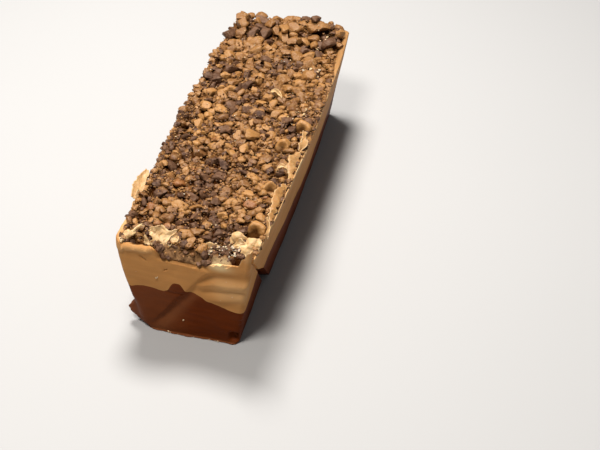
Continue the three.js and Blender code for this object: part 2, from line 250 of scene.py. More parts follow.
# Torn films of pale fudge: a path, the way the breadth runs, breadths along the path, curl, and how
# ruffled and tan it is. A thicker film is as tan as the loaf, but for its torn edge.
FILM_STEP = 0.8
FILM_THICKNESS = 0.7
Film = namedtuple("Film", "path across wide curl ruffle tan", defaults=(1, 0))
FILMS = (
    Film(
        ((-30.5, 8.2, 90), (-25, 8, 89), (-19, 8.4, 87.8), (-12.8, 14, 90.3)),
        (-0.05, 0.78, 0.58), (5, 11, 17, 10, 3), 1.2,
    ),
    Film(((-32, 7.5, 90.5), (-29, 8.8, 91), (-26.5, 10.3, 91.8)), (0.1, 0.6, 0.7), (2, 5, 3), 0.4),
    Film(((-17.5, 3.6, 84), (-14, 7.6, 86.2), (-10.2, 12.1, 88)), (-0.5, 0.5, 0.5), (5, 4.5, 2.5), 0.8),
    Film(((-31.2, 1, 84.5), (-31.8, 2.2, 87), (-32.4, 3.6, 90.3)), (1, 0.05, -0.1), (7, 5, 0.8), 0.3),
    Film(((-27.5, 2.8, 86), (-24, 3, 85.5), (-20.5, 2.2, 84.3)), (0, 0.7, 0.7), (3, 4, 2), 0.5),
    Film(
        ((-49.2, -3, 85.5), (-47.8, 0.5, 87.5), (-44, 5, 89.2), (-37.8, 13.5, 90)),
        (0.65, -0.15, -0.6), (3, 6, 6, 2), 0.8,
    ),
    Film(
        ((27.7, 14.5, 83.5), (28.8, 17.5, 87.5), (33, 20.2, 92), (39.5, 20, 90.5)),
        (0.35, -0.75, -0.5), (4, 7, 6.5, 3), 1.2,
    ),
    Film(
        ((29, 13.5, 84), (36, 13.8, 87), (43, 13.6, 88.5), (50.5, 15.5, 89.5)),
        (0.1, 0.8, 0.5), (4, 10, 13, 12), -1, 1.3,
    ),
    Film(((31, 14.5, 85), (35.5, 16.5, 88), (40, 16.5, 88.5)), (0.1, 0.5, 0.8), (3, 6, 3), 0.5),
    Film(((10.3, 12.1, 85.5), (15, 9.8, 85), (21.7, 11.2, 86)), (0.1, 0.6, 0.8), (2.5, 4, 3), 0.8),
    Film(((52.5, 30, 87), (51, 37, 90), (48.5, 45, 91)), (0.3, 0, 1), (4, 5, 3.5), 0.6, tan=0.6),
    Film(
        ((52, 46, 88.3), (49.6, 58, 90.5), (49.4, 74, 91), (51.2, 91, 90)),
        (0.85, 0.05, -0.5), (4, 5.5, 6, 4.5), 0.6, 1, 1,
    ),
    Film(
        ((53.5, 99, 89), (51.2, 112, 91), (51.2, 124, 91.5), (54.8, 137, 89)),
        (0.85, 0.1, -0.5), (3, 6.5, 7.5, 3), 0.8, 1, 0.8,
    ),
    Film(
        ((-55.5, 45, 88), (-55.7, 55, 90), (-56, 65, 90.5), (-55.5, 77, 91)),
        (-0.85, 0, 0.35), (5, 9, 8.5, 3), 1, 0.5, 0.5,
    ),
    Film(((50, 162, 90.5), (51.5, 149, 91.5), (52.5, 136, 90)), (0.85, 0, -0.45), (4, 6, 4), 0.6, tan=0.8),
    Film(((40, 108, 89.5), (43.5, 110, 91), (47, 110, 90.5)), (0.1, 0.8, 0.6), (3, 5.5, 3), 0.8),
    Film(((8, 216, 88.2), (14, 214, 89.7), (19, 208, 88.2)), (0.2, 0.5, 0.8), (2, 4, 2), 0.6, 0.4),
)
RUFFLES = (Sizes(height=1.7, long=7.5), Sizes(height=0.5, long=2.8))
TORN_EDGE = Sizes(deep=1.8, long=4, least=0.3, pale=(0, 0.7))

# Pale crumbs that cling to the topping: how many, the least and most size and whiteness, and for a
# cluster its x, station, and half its width and length. The whitest scattered ones are also painted
# highlights that stand in for the topping's glints.
Crumbs = namedtuple("Crumbs", "count sizes white x station wide long", defaults=[None] * 4)
TOP_CRUMBS_AND_GLINTS = (
    Crumbs(110, (0.8, 2.0), (-0.3, 1)),
    Crumbs(45, (0.9, 2.8), (0.4, 1), 26, 8, 11, 5),
    Crumbs(12, (1.5, 4.2), (0.1, 0.8), 33, 257, 10, 6),
    Crumbs(9, (1.5, 3.6), (0.1, 0.6), 34, 302, 7, 10),
    Crumbs(9, (1.2, 3.2), (0.1, 0.6), 39, 193, 6, 6),
)
CRUMB_SPREAD = Sizes(across=0.96, start=0.02, long=0.96, power=1.3)
CRUMB_LIFT = 0.1
# Crumbs on the knifed face and its foot: x, height and size.
FACE_CRUMBS = (
    (-23.2, 57.8, 2.3), (-22.3, 59, 1.3), (-4.3, 16.5, 2.2), (38.9, 52.7, 1.3), (29, 47, 0.7),
    (-39.6, 60.5, 0.8), (33, 66, 0.7), (-23.8, 1.2, 2.4), (-21.6, 1, 1.6), (-12.5, 0.9, 1.2),
    (5, 0.8, 0.9), (18.5, 0.8, 1.7), (24, 0.8, 1.1), (26.2, 0.9, 2.1),
)
FACE_CRUMB_WHITE = (0.2, 0.9)

# Seeds and settings of the noise, the generator that the CAD draws its numbers with, and the power of
# a flat-topped hump.
SEEDS = Sizes(wall=1, end=2, seam=3, rim=4, foot=5, chocolate=6, edge=8, shapes=31, films=40, axis=20)
NOISE_SHIFT = Vector((7.31, 3.17, 5.53))
NOISE_WAVES = (1.0, 2.0, 3)
GRAIN_SHIFT = 9.7
GRAIN_NUMBER = 31.7
DRAW_FACTOR = 48271
DRAW_RANGE = 2147483647
FLAT_TOP = 4

# Steps of the meshes. A stretch has the station of its end, and its step.
FRONT_POINTS = 140
BACK_POINTS = 48
CORNER_STEPS = 9
LEFT_STRETCHES = ((14, 0.6), (80, 1.2), (BASE_LENGTH - CORNER_RADIUS, 2.4))
RIGHT_STEP = 1.0
RIGHT_FAR_STEP = 2.4
CHOCOLATE_RINGS = np.linspace(0, 1, 58) ** 1.25
TOFFEE_RINGS = np.linspace(0, 1, 54)
SEAM_INSETS = (5, 15, 30)
RIM_TURNS = (30, 60, 90)
BED_INSETS = (0.8, 1.8, 3.2, 5, 7.5, 10.5, 14.5)
FUDGE_EDGE = 50
CORE_STEP = 1.0

# The camera, placed in millimetres, and the lights, in metres: place, width, watts and colour.
CAMERA_PLACE = (210.65, -796.93, 663.91)
CAMERA_YAW = math.radians(11.43)
CAMERA_PITCH = math.radians(39.57)
CAMERA_ROLL = math.radians(2.88)
LENS = 73.33
SENSOR = 36
LIGHTS = {
    "overhead": ((-0.25, 0.36, 1.25), 0.45, 27, "#FFFBF5"),
    "key": ((-0.15, -0.62, 1.35), 0.35, 17, "#FFFAF2"),
    "side": ((1.3, -0.4, 0.7), 0.8, 0.25, "#FFFAF2"),
}
LIGHT_AIM = Vector((0, 0, 0.05))
SURROUND = 0.15
FLOOR_REACH = 9000


# Helpers for shapes


def mix(low, high, share):
    return low + (high - low) * share


def smooth(value, low, high):
    share = np.clip((value - low) / (high - low), 0, 1)
    return share * share * (3 - 2 * share)


def between(value, rise, fall):
    """1 between two places, fading in over the first and out over the second."""
    return smooth(value, *rise) * (1 - smooth(value, *fall))


def hump(distance, width, power=2):
    """1 in the middle, little past the width, and flat-topped with a high power."""
    return np.exp(-np.abs(distance / width) ** power)


def rounded_inset(distance, radius):
    short = np.clip(radius - distance, 0, radius)
    return radius - np.sqrt(radius**2 - short**2)


def ripple(long, seed, *places):
    """Noise from about -1 to 1 at each place, in waves of about this length."""
    shift = NOISE_SHIFT * seed
    columns = np.zeros((np.size(places[0]), 3))
    for column, place in enumerate(places):
        columns[:, column] = np.ravel(place)
    return np.array([noise.fractal(Vector(p) / long + shift, *NOISE_WAVES) for p in columns])


def grains(long, seed, x, y):
    """The distance from each place to the middle of its grain, and a number from 0 to 1 for that grain."""
    places = np.column_stack([x, y, np.full(len(x), seed * GRAIN_SHIFT)]) / long
    found = [noise.voronoi(Vector(p)) for p in places]
    distance = np.array([distances[0] for distances, _ in found])
    number = np.array([0.5 + 0.5 * noise.cell(middles[0] * GRAIN_NUMBER) for _, middles in found])
    return distance, number


def seeded_draws(seed):
    """Numbers from 0 to 1, the same as the CAD draws, so that the same pieces are drawn."""
    state = seed
    while True:
        state = state * DRAW_FACTOR % DRAW_RANGE
        yield state / DRAW_RANGE


def new_object(name, vertices, faces, material=None):
    mesh = bpy.data.meshes.new(name)
    mesh.from_pydata(np.asarray(vertices) * MM, [], faces)
    mesh.shade_smooth()
    if material:
        mesh.materials.append(material)
    made = bpy.data.objects.new(name, mesh)
    bpy.context.scene.collection.objects.link(made)
    return made


def applied(source):
    """The object with its modifiers turned into plain mesh."""
    bpy.context.view_layer.update()
    depsgraph = bpy.context.evaluated_depsgraph_get()
    mesh = bpy.data.meshes.new_from_object(source.evaluated_get(depsgraph), depsgraph=depsgraph)
    source.modifiers.clear()
    source.data = mesh
    mesh.name = source.name
    return source


def store(mesh, name, values, kind="FLOAT"):
    attribute = mesh.attributes.new(name, kind, "POINT")
    attribute.data.foreach_set("vector" if kind == "FLOAT_VECTOR" else "value", np.ravel(values))


def vertex_places(piece):
    places = np.empty(3 * len(piece.data.vertices), np.float32)
    piece.data.vertices.foreach_get("co", places)
    return places.reshape(-1, 3) / MM


def grid_faces(rows, columns):
    index = np.arange(rows * columns).reshape(rows, columns)
    corners = (index[:-1, :-1], index[:-1, 1:], index[1:, 1:], index[1:, :-1])
    return np.stack(corners, axis=-1).reshape(-1, 4)


# The loaf's form


def half_width(station, height):
    rise = height / RIM_HEIGHT
    along = station / BASE_LENGTH
    bow = 1 - (2 * along - 1) ** 2
    straight = mix(mix(*BASE_WIDTH, along), mix(*RIM_WIDTH, along), rise) / 2
    return straight + mix(BASE_BOW, RIM_BOW, rise) * bow


def squeezed_lip(station, height):
    ridges = np.sin(2 * math.pi * (station + LIP_RIDGES.slant * height) / LIP_RIDGES.gap)
    swell = hump(station - LIP.station, LIP.long) * (LIP.out + LIP_RIDGES.height * ridges)
    groove = LIP_GROOVE.deep * hump(station - LIP_GROOVE.station, LIP_GROOVE.long)
    return (swell - groove) * hump(height - LIP.height, LIP.tall)


def cut_station(height):
    return CUT.station - CUT.slant * np.minimum(height, RIM_HEIGHT)


def slanted(across, station, past, height):
    """Stations moved along the right wall, so that columns of points follow both edges of the cut."""
    middle = cut_station(LAYER_HEIGHT)
    reach = np.minimum(station / middle, (CUT.fade - station) / (CUT.fade - middle))
    shift = cut_station(height) - middle + past * np.interp(height, CUT_HEIGHTS, CUT_GAPS)
    return station + np.where(across > 0, np.clip(reach, 0, 1) * shift, 0)


def wall_inset(across, station, past, height):
    """What rounding, the squeezed lip and the cut take off one long wall."""
    left = across < 0
    swept = SWEPT_FOOT.inset * np.clip(1 - height / SWEPT_FOOT.height, 0, 1)
    swept = swept + LEFT_CORNER.more * smooth(height, *LEFT_CORNER.rise)
    inset = rounded_inset(station, CORNER_RADIUS + np.where(left, swept, 0))
    foot = FOOT_RADIUS + np.where(left, LEFT_FOOT.more * hump(station, LEFT_FOOT.long), 0)
    inset = inset + rounded_inset(BASE_LENGTH - station, CORNER_RADIUS) + rounded_inset(height, foot)
    before = np.interp(height, CUT_HEIGHTS, CUT_INSETS) * station / cut_station(height)
    inside = np.interp(height, CUT_HEIGHTS, CUT_DEPTHS)
    cut = np.where(past == 0, before, np.where(past < 1, inside, 0))
    pinch = EDGE_PINCHES.height * ripple(EDGE_PINCHES.gap, SEEDS.edge, height)
    pinch = pinch * between(height, EDGE_PINCHES.low, EDGE_PINCHES.high)
    cut = cut + pinch * hump(station, EDGE_PINCHES.long)
    flare = LEFT_FLARE.out * smooth(height, *LEFT_FLARE.rise) * hump(station, LEFT_FLARE.long)
    return inset + np.where(left, -squeezed_lip(station, height) - flare, cut)


def front_rim_height(x):
    return np.interp(x, FRONT_RIM_XS, FRONT_RIM_HEIGHTS)


def rolled_edge(x, height):
    """1 where the left of the front rim is rolled over."""
    return hump(height - front_rim_height(x) + ROLL.below, ROLL.tall) * smooth(-x, *ROLL.left)


def off_crease(x, height):
    return (x - np.interp(height, CREASE_HEIGHTS, CREASE_XS)) * CREASE.slant


def front_relief(x, height):
    """How far the knifed front face lies behind its plane: creases, folds, ridges and nicks."""
    off = off_crease(x, height)
    step = smooth(off, -CREASE.edge, CREASE.edge) * np.exp(-np.maximum(off, 0) / CREASE.fade)
    relief = CREASE.depth * step * between(height, CREASE.low, CREASE.high)
    fold = smooth(height - np.interp(x, FOLD_XS, FOLD_HEIGHTS), -FOLD.edge, FOLD.edge)
    relief += FOLD.depth * fold * between(x, FOLD.left, FOLD.right)
    for xs, heights, rise, width in RIDGES:
        ridge = hump(height - np.interp(x, xs, heights), width)
        relief -= rise * ridge * smooth(x - xs[0], *RIDGE_START)
    relief -= ROLL.out * rolled_edge(x, height)
    relief -= TAB.out * hump(x - TAB.x, TAB.wide, TAB.power) * smooth(height, *TAB.rise)
    off = x - BLOB_CRACK.x
    crack = BLOB_CRACK.height - BLOB_CRACK.sag * (1 - (off / BLOB_CRACK.half) ** 2)
    along = hump(off, BLOB_CRACK.half, BLOB_CRACK.power)
    relief += BLOB_CRACK.depth * hump(height - crack, BLOB_CRACK.width) * along
    for nick_x, nick_height, tilt, long, wide, depth in NICKS:
        off = x - nick_x
        relief += depth * hump(height - nick_height - tilt * off, wide) * hump(off, long, FLAT_TOP)
    chip = hump(x - CORNER_CHIP.x, CORNER_CHIP.wide, FLAT_TOP)
    relief += CORNER_CHIP.depth * chip * hump(height - CORNER_CHIP.height, CORNER_CHIP.tall, FLAT_TOP)
    lip = FOOT_LIP.out * (1 + FOOT_LIP.uneven * ripple(FOOT_LIP.long, SEEDS.foot, x))
    return relief - lip * hump(height - FOOT_LIP.height, FOOT_LIP.tall)


def on_loaf(across, station, past, height):
    """Points of the loaf, by the share across from wall to wall and the share of the cut passed."""
    side = np.where(across < 0, -BASE_LENGTH, BASE_LENGTH)
    wave = WALL_WAVE.height * ripple(WALL_WAVE.long, SEEDS.wall, station, height, side)
    x = across * (half_width(station, height) - wall_inset(across, station, past, height) + wave)
    along = 2 * station / BASE_LENGTH - 1
    reach = BASE_LENGTH / 2 + END_DRAFT * height / RIM_HEIGHT - rounded_inset(height, FOOT_RADIUS)
    relief = front_relief(x, height) * np.clip(1 - station / FRONT_BANK, 0, 1)
    y = along * reach + relief + END_WAVE.height * ripple(END_WAVE.long, SEEDS.end, x, height)
    return np.column_stack([x, y, height])


def layer_height(across, station):
    x = across * half_width(station, LAYER_HEIGHT)
    height = LAYER_HEIGHT + SEAM_WAVE.height * ripple(SEAM_WAVE.long, SEEDS.seam, x, station)
    for swirl_x, swirl_station, rise, wide, long, power in SWIRLS:
        height = height + rise * hump(x - swirl_x, wide, power) * hump(station - swirl_station, long)
    return height


def flap_height(across, station, edge=0):
    """How far flaps stand up from the rim, at a distance in from its edge."""
    height = np.zeros_like(station)
    for side, middle, rise, long, thick in FLAPS:
        stands = rise * hump(station - middle, long) * (1 - smooth(edge, thick / 2, thick))
        height = height + np.where(across * side > 0, stands, 0)
    return height


def bed_height(across, station):
    """The toffee fudge's top: a trough that banks up to the rim."""
    half = half_width(station, RIM_HEIGHT)
    x = across * half
    edge = half - np.abs(x)
    rim = RIM_HEIGHT - RIM_DROP - BED_HEIGHT
    side = np.where(across < 0, -1, 1)
    rim = rim + sum(wave.height * np.sin(station / wave.long + side) for wave in RIM_WAVES)
    sides = rim * (1 - smooth(edge, RIM_THICKNESS, RIM_THICKNESS + BANK_WIDTH))
    back = rim * (1 - smooth(BASE_LENGTH - station, RIM_THICKNESS, RIM_THICKNESS + BANK_WIDTH))
    bank = mix(FRONT_BANK, TONGUE.bank, smooth(x, *TONGUE.left))
    front = (front_rim_height(x) - BED_HEIGHT) * (1 - smooth(station, BANK_START, bank))
    return BED_HEIGHT + np.maximum(np.maximum(sides, back), front) + flap_height(across, station, edge)


def bare_rim(side, station):
    """How much of the rim the topping leaves bare."""
    bare = RIM_BARE
    for flap_side, middle, _, long, thick in FLAPS:
        bare = bare + np.where(side * flap_side > 0, (thick - THIN) * hump(station - middle, long), 0)
    return bare


def far_share(station):
    """0 at the front, rising ever more steeply to 1 at the far end."""
    return (station / BASE_LENGTH) ** 3


def coarser(station):
    """How much larger than in the CAD the pieces are."""
    return mix(*COARSER, far_share(station))


def hollowed(x, station):
    """How deep the topping is hollowed out near its front corners."""
    depth = 0
    for hollow_x, hollow_station, wide, long, deep in HOLLOWS:
        across = hump(x - hollow_x, wide, FLAT_TOP)
        depth = depth + deep * across * hump(station - hollow_station, long, FLAT_TOP)
    return depth


def crown_height(across, station):
    """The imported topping's top, which slopes down to the front rim where it was cut."""
    x = across * half_width(station, RIM_HEIGHT)
    heap = hump(x - FAR_CROWN.x, FAR_CROWN.wide) * hump(station - FAR_CROWN.station, FAR_CROWN.long)
    swell, wave = station / CROWN_WAVE.long, x / CROWN_WAVE.wide
    crown = CROWN_HEIGHT + FAR_CROWN.rise * heap
    crown = crown + CROWN_WAVE.height * (np.sin(swell + wave) + np.sin(swell - wave))
    cut_edge = front_rim_height(x) + COVER + FRONT_SLOPE * np.maximum(0, station - RIM_SHOWN)
    drop = CORE_DROP * smooth(station, RIM_SHOWN, FRONT_BANK) + hollowed(x, station)
    return np.minimum(crown, cut_edge) - drop


def wiped(x, station):
    """1 where the knife wiped the topping smooth, 0 elsewhere."""
    return between(x, WIPED.left, WIPED.right) * (1 - smooth(station, *WIPED.far))


def plan_place(across, station):
    """Where a point of the topping lies, seen from above."""
    inset = rounded_inset(station, CORNER_RADIUS) + rounded_inset(BASE_LENGTH - station, CORNER_RADIUS)
    reach = BASE_LENGTH / 2 + END_DRAFT
    return across * (half_width(station, RIM_HEIGHT) - inset), (2 * station / BASE_LENGTH - 1) * reach


# The two fudges, as rings of points round the loaf


def side_stations(stretches):
    """Stations along a long wall: close together round its corners, then in stretches with a step each."""
    corner = CORNER_RADIUS * (1 - np.cos(np.linspace(0, math.pi / 2, CORNER_STEPS, endpoint=False)))
    parts = [corner]
    start = CORNER_RADIUS
    for end, step in stretches:
        parts.append(np.arange(start, end, step))
        start = end
    return np.concatenate([*parts, BASE_LENGTH - corner[:0:-1]])


def perimeter():
    """Across, station and share of the cut passed, of the points round the loaf from its front left."""
    middle = cut_station(LAYER_HEIGHT)
    far = BASE_LENGTH - CORNER_RADIUS
    wall = side_stations(((middle, RIGHT_STEP), (CUT.fade, RIGHT_STEP), (far, RIGHT_FAR_STEP)))
    before, after = wall[wall < middle], wall[wall > middle]
    right = np.concatenate([before, [middle] * 3, after])
    right_past = np.concatenate([np.zeros(len(before) + 1), [CUT.bottom], np.ones(len(after) + 1)])
    left = np.append(BASE_LENGTH, side_stations(LEFT_STRETCHES)[:0:-1])
    front = np.linspace(-1, 1, FRONT_POINTS, endpoint=False)
    back = np.linspace(1, -1, BACK_POINTS, endpoint=False)
    across = np.concatenate([front, np.ones(len(right)), back, -np.ones(len(left))])
    station = np.concatenate([np.zeros(len(front)), right, np.full(len(back), BASE_LENGTH), left])
    past = np.concatenate([np.ones(len(front)), right_past, np.ones(len(back) + len(left))])
    return across, station, past


def wall_ring(columns, height):
    across, station, past = columns
    return on_loaf(across, slanted(across, station, past, height), past, height)


def inner_ring(columns, level, inset, surface, lift=0):
    """A ring of points set in from the walls, on a surface near a level."""
    across, station, past = columns
    station = slanted(across, station, past, level)
    across = across * (1 - inset / half_width(station, RIM_HEIGHT))
    station = inset + station * (1 - 2 * inset / BASE_LENGTH)
    return on_loaf(across, station, past, surface(across, station) + lift)


def seam_rings(columns):
    return [inner_ring(columns, LAYER_HEIGHT, inset, layer_height) for inset in SEAM_INSETS]


def chocolate_rings():
    columns = perimeter()
    seam = layer_height(*columns[:2])
    return [wall_ring(columns, share * seam) for share in CHOCOLATE_RINGS] + seam_rings(columns)


def rim_rounding(across, station):
    x = across * half_width(station, RIM_HEIGHT)
    front = np.interp(x, FRONT_ROUND_XS, FRONT_ROUNDS)
    rounding = mix(front, RIM_ROUND.radius, smooth(station, *RIM_ROUND.front))
    flap = np.maximum(flap_height(across, station), 0)
    return np.maximum(rounding - RIM_ROUND.flap * flap, RIM_ROUND.least)


def toffee_rings():
    columns = perimeter()
    across, station, past = columns
    seam = layer_height(across, station)
    at_rim = slanted(across, station, past, RIM_HEIGHT)
    rounding = rim_rounding(across, at_rim)
    torn = ripple(RIM_TORN.long, SEEDS.rim, across * RIM_WIDTH[0] / 2, at_rim)
    torn = RIM_TORN.height * torn * (1 + np.maximum(flap_height(across, at_rim), 0))
    top = bed_height(across, at_rim) + torn
    rings = seam_rings(columns)[::-1]
    for share in TOFFEE_RINGS:
        rings.append(wall_ring(columns, mix(seam, top - rounding, share)))
    for turn in np.radians(RIM_TURNS):
        lift = torn - rounding * (1 - math.sin(turn))
        rings.append(inner_ring(columns, RIM_HEIGHT, rounding * (1 - math.cos(turn)), bed_height, lift))
    for further in BED_INSETS:
        rings.append(inner_ring(columns, RIM_HEIGHT, rounding + further, bed_height))
    return rings


def loft(rings):
    """Walls between rings of points, listed from the bottom up, and a flat face at each end."""
    count = len(rings[0])
    index = np.arange(len(rings) * count).reshape(len(rings), count)
    after = np.roll(index, -1, axis=1)
    walls = np.stack([index[:-1], after[:-1], after[1:], index[1:]], axis=-1).reshape(-1, 4)
    return np.concatenate(rings), [*walls.tolist(), index[0][::-1].tolist(), index[-1].tolist()]


def fudge_layer(name, rings, material):
    places, faces = loft(rings)
    layer = new_object(name, places, faces, material)
    layer.data.set_sharp_from_angle(angle=math.radians(FUDGE_EDGE))
    return layer, places


def dusted_rim(places):
    """Where crumb dust darkens the thick rim at the far right."""
    x, y, z = places.T
    along = hump(y + BASE_LENGTH / 2 - DUSTED_RIM.station, DUSTED_RIM.long, FLAT_TOP)
    return along * smooth(z, *DUSTED_RIM.rise) * (x > 0)


def pale_share(places):
    """Where the toffee fudge is paler: thin or smeared, on its rolled edge, and in a painted sheen."""
    x, y, z = places.T
    front = hump(y + BASE_LENGTH / 2 + END_DRAFT, PALE_RIM.deep)
    flap = PALE_FLAP.share * smooth(z, *PALE_FLAP.rise) * (1 - PALE_FLAP.front * front)
    rim = PALE_RIM.share * smooth(z, *PALE_RIM.rise) * (1 - front)
    upright = (flap + rim) * (1 - DUSTED_RIM.hidden * dusted_rim(places))
    smear = hump(x - SMEAR.x, SMEAR.wide) * hump(z - SMEAR.height, SMEAR.tall)
    painted_sheen = hump(x - PAINTED_SHEEN.x, PAINTED_SHEEN.wide, FLAT_TOP) * hump(z - PAINTED_SHEEN.height, PAINTED_SHEEN.tall, FLAT_TOP)
    on_face = smear + ROLL.pale * rolled_edge(x, z) + PAINTED_SHEEN.share * painted_sheen
    return np.clip(upright + on_face * front, 0, 1)


def darkened_share(places):
    """Where the toffee fudge's front is darker above the fold, and crumb dust darkens its far rim."""
    x, y, z = places.T
    above = smooth(z - np.interp(x, FOLD_XS, FOLD_HEIGHTS), *DARK_ABOVE_FOLD.above)
    front = hump(y + BASE_LENGTH / 2 + END_DRAFT, DARK_ABOVE_FOLD.deep)
    stained = DARK_ABOVE_FOLD.share * above * front * between(x, DARK_ABOVE_FOLD.left, DARK_ABOVE_FOLD.right)
    return stained + DUSTED_RIM.stain * dusted_rim(places)


def thin_and_lit_share(places):
    """Where chocolate fudge is lighter: squeezed thin and redder, to the left, and a painted highlight."""
    x, y, z = places.T
    station = y + BASE_LENGTH / 2
    lip = hump(station - LIP.station, LIP.long) * hump(z - LIP.height, LIP.tall * LIP.thin) * (x < 0)
    foot = hump(z - FOOT_LIP.height, FOOT_LIP.thin)
    # A painted highlight on the flank beside the crease, and lighter colour towards the left.
    flank = hump(off_crease(x, z) - FACE_LIGHTENING.off, FACE_LIGHTENING.wide)
    dull = FACE_LIGHTENING.left * (1 - smooth(x, *FACE_LIGHTENING.right)) + FACE_LIGHTENING.flank * flank
    return np.clip(lip + (foot + dull) * (1 - smooth(station, *FACE_STATIONS)), 0, 1)


# Nodes and materials

# Sockets of a Mix node that mixes colours.
SHARE, FIRST, SECOND = 0, 6, 7
MIXED = 2


def add(tree, kind, inputs=(), **settings):
    """Adds a node with its settings, its inputs set to values or linked, and gives its outputs."""
    node = tree.nodes.new(kind)
    for name, value in settings.items():
        setattr(node, name, value)
    for name, value in dict(inputs).items():
        if isinstance(value, bpy.types.NodeSocket):
            tree.links.new(value, node.inputs[name])
        else:
            node.inputs[name].default_value = value
    return node.outputs


def colour(code):
    """A linear colour from an sRGB hex value."""
    values = [int(code[i : i + 2], 16) / 255 for i in (1, 3, 5)]
    return (*(v / 12.92 if v <= 0.04045 else ((v + 0.055) / 1.055) ** 2.4 for v in values), 1)


def per_metre(millimetres):
    """A texture's scale, from the real length of one wave of it."""
    return 1000 / millimetres


def new_material(name, roughness, ior, specular):
    material = bpy.data.materials.new(name)
    material.use_nodes = True
    tree = material.node_tree
    shader = tree.nodes["Principled BSDF"].inputs
    shader["Roughness"].default_value = roughness
    shader["IOR"].default_value = ior
    shader["Specular IOR Level"].default_value = specular
    return material, tree, shader, add(tree, "ShaderNodeTexCoord")["Object"]


def finish(tree, shader, body, height, strength, millimetres):
    """Gives a material its colour, and bumps of this depth."""
    bump = {"Strength": strength, "Distance": millimetres * MM, "Height": height}
    tree.links.new(body, shader["Base Color"])
    tree.links.new(add(tree, "ShaderNodeBump", bump)[0], shader["Normal"])


def let_light_in(shader, share, millimetres):
    """Light that goes a little way into sugar and butter, the red the furthest."""
    shader["Subsurface Weight"].default_value = share
    shader["Subsurface Radius"].default_value = (1.0, 0.5, 0.25)
    shader["Subsurface Scale"].default_value = millimetres * MM


def marked(tree, body, marks):
    """A colour with others over it, each by an attribute of the mesh."""
    for name, code in marks.items():
        share = add(tree, "ShaderNodeAttribute", attribute_name=name)["Fac"]
        inputs = {SHARE: share, FIRST: body, SECOND: colour(code)}
        body = add(tree, "ShaderNodeMix", inputs, data_type="RGBA")[MIXED]
    return body


def layered(tree, body, *layers):
    """A colour with others over it, each by up to a share as a value goes from low to high."""
    for value, low, high, most, code in layers:
        share = {"Value": value, "From Min": low, "From Max": high, "To Max": most}
        inputs = {SHARE: add(tree, "ShaderNodeMapRange", share)[0], FIRST: body, SECOND: colour(code)}
        body = add(tree, "ShaderNodeMix", inputs, data_type="RGBA")[MIXED]
    return body


def moulded(tree, place, codes, cloudy, dragged, stretch, share):
    """The colour of moulded fudge, cloudy and with the knife's long drag marks, and those marks."""
    cloud = add(tree, "ShaderNodeTexNoise", {"Vector": place, "Scale": per_metre(cloudy), "Detail": 3})
    body = layered(tree, colour(codes[0]), (cloud["Fac"], 0, 1, 1, codes[1]))
    long = add(tree, "ShaderNodeMapping", {"Vector": place, "Scale": (stretch, stretch, 1)})[0]
    drag = add(tree, "ShaderNodeTexNoise", {"Vector": long, "Scale": per_metre(dragged), "Detail": 4})
    inputs = {SHARE: share, FIRST: body, SECOND: drag["Fac"]}
    return add(tree, "ShaderNodeMix", inputs, data_type="RGBA", blend_type="OVERLAY")[MIXED], drag["Fac"]


def painted_gap_shade(tree, shader, body):
    """Painted shade between broken pieces, over their lower parts: darker and less shiny the deeper."""
    sunk = add(tree, "ShaderNodeAttribute", attribute_name="sunk")["Fac"]
    shine = {"Value": sunk, "To Min": shader["Specular IOR Level"].default_value, "To Max": 0}
    tree.links.new(add(tree, "ShaderNodeMapRange", shine)[0], shader["Specular IOR Level"])
    return layered(tree, body, (sunk, 0, 1, 0.88, "#331605"))


def toffee_fudge():
    """Moulded toffee fudge: dense and satin, faintly mottled, dragged by the knife, pale where thin."""
    material, tree, shader, place = new_material("toffee_fudge", roughness=0.55, ior=1.46, specular=0.03)
    codes = ("#B7834D", "#A37140")
    body, drag = moulded(tree, place, codes, cloudy=32, dragged=5, stretch=0.12, share=0.22)
    # Pale where thin or smeared, with a painted sheen on the face; darker above the fold.
    body = marked(tree, body, {"pale": "#D8BB8C", "stained": "#5E3A1C"})
    pits = add(tree, "ShaderNodeTexVoronoi", {"Vector": place, "Scale": per_metre(7)})
    pit = {"Value": pits["Distance"], "From Min": 0.04, "From Max": 0.1, "To Max": 0.4}
    pit = add(tree, "ShaderNodeMapRange", pit)[0]
    fine = add(tree, "ShaderNodeTexNoise", {"Vector": place, "Scale": per_metre(1.6), "Detail": 3})
    marks = add(tree, "ShaderNodeMath", {0: drag, 1: 0.5, 2: pit}, operation="MULTIPLY_ADD")
    height = add(tree, "ShaderNodeMath", {0: marks[0], 1: fine["Fac"]}, operation="ADD")[0]
    finish(tree, shader, body, height, strength=0.35, millimetres=0.3)
    let_light_in(shader, share=0.1, millimetres=2)
    return material


def chocolate_fudge():
    """Moulded chocolate fudge: red-brown and smooth, with a low gleam and the knife's long drag marks."""
    material, tree, shader, place = new_material("chocolate_fudge", roughness=0.5, ior=1.46, specular=0.05)
    codes = ("#612B0C", "#531F03")
    body, drag = moulded(tree, place, codes, cloudy=28, dragged=4, stretch=0.1, share=0.3)
    # Redder and lighter where thin, and a painted highlight beside the crease.
    body = marked(tree, body, {"thin": "#6E3E22"})
    fine = add(tree, "ShaderNodeTexNoise", {"Vector": place, "Scale": per_metre(1.5), "Detail": 3})
    height = add(tree, "ShaderNodeMath", {0: drag, 1: fine["Fac"]}, operation="ADD")[0]
    finish(tree, shader, body, height, strength=0.3, millimetres=0.3)
    return material


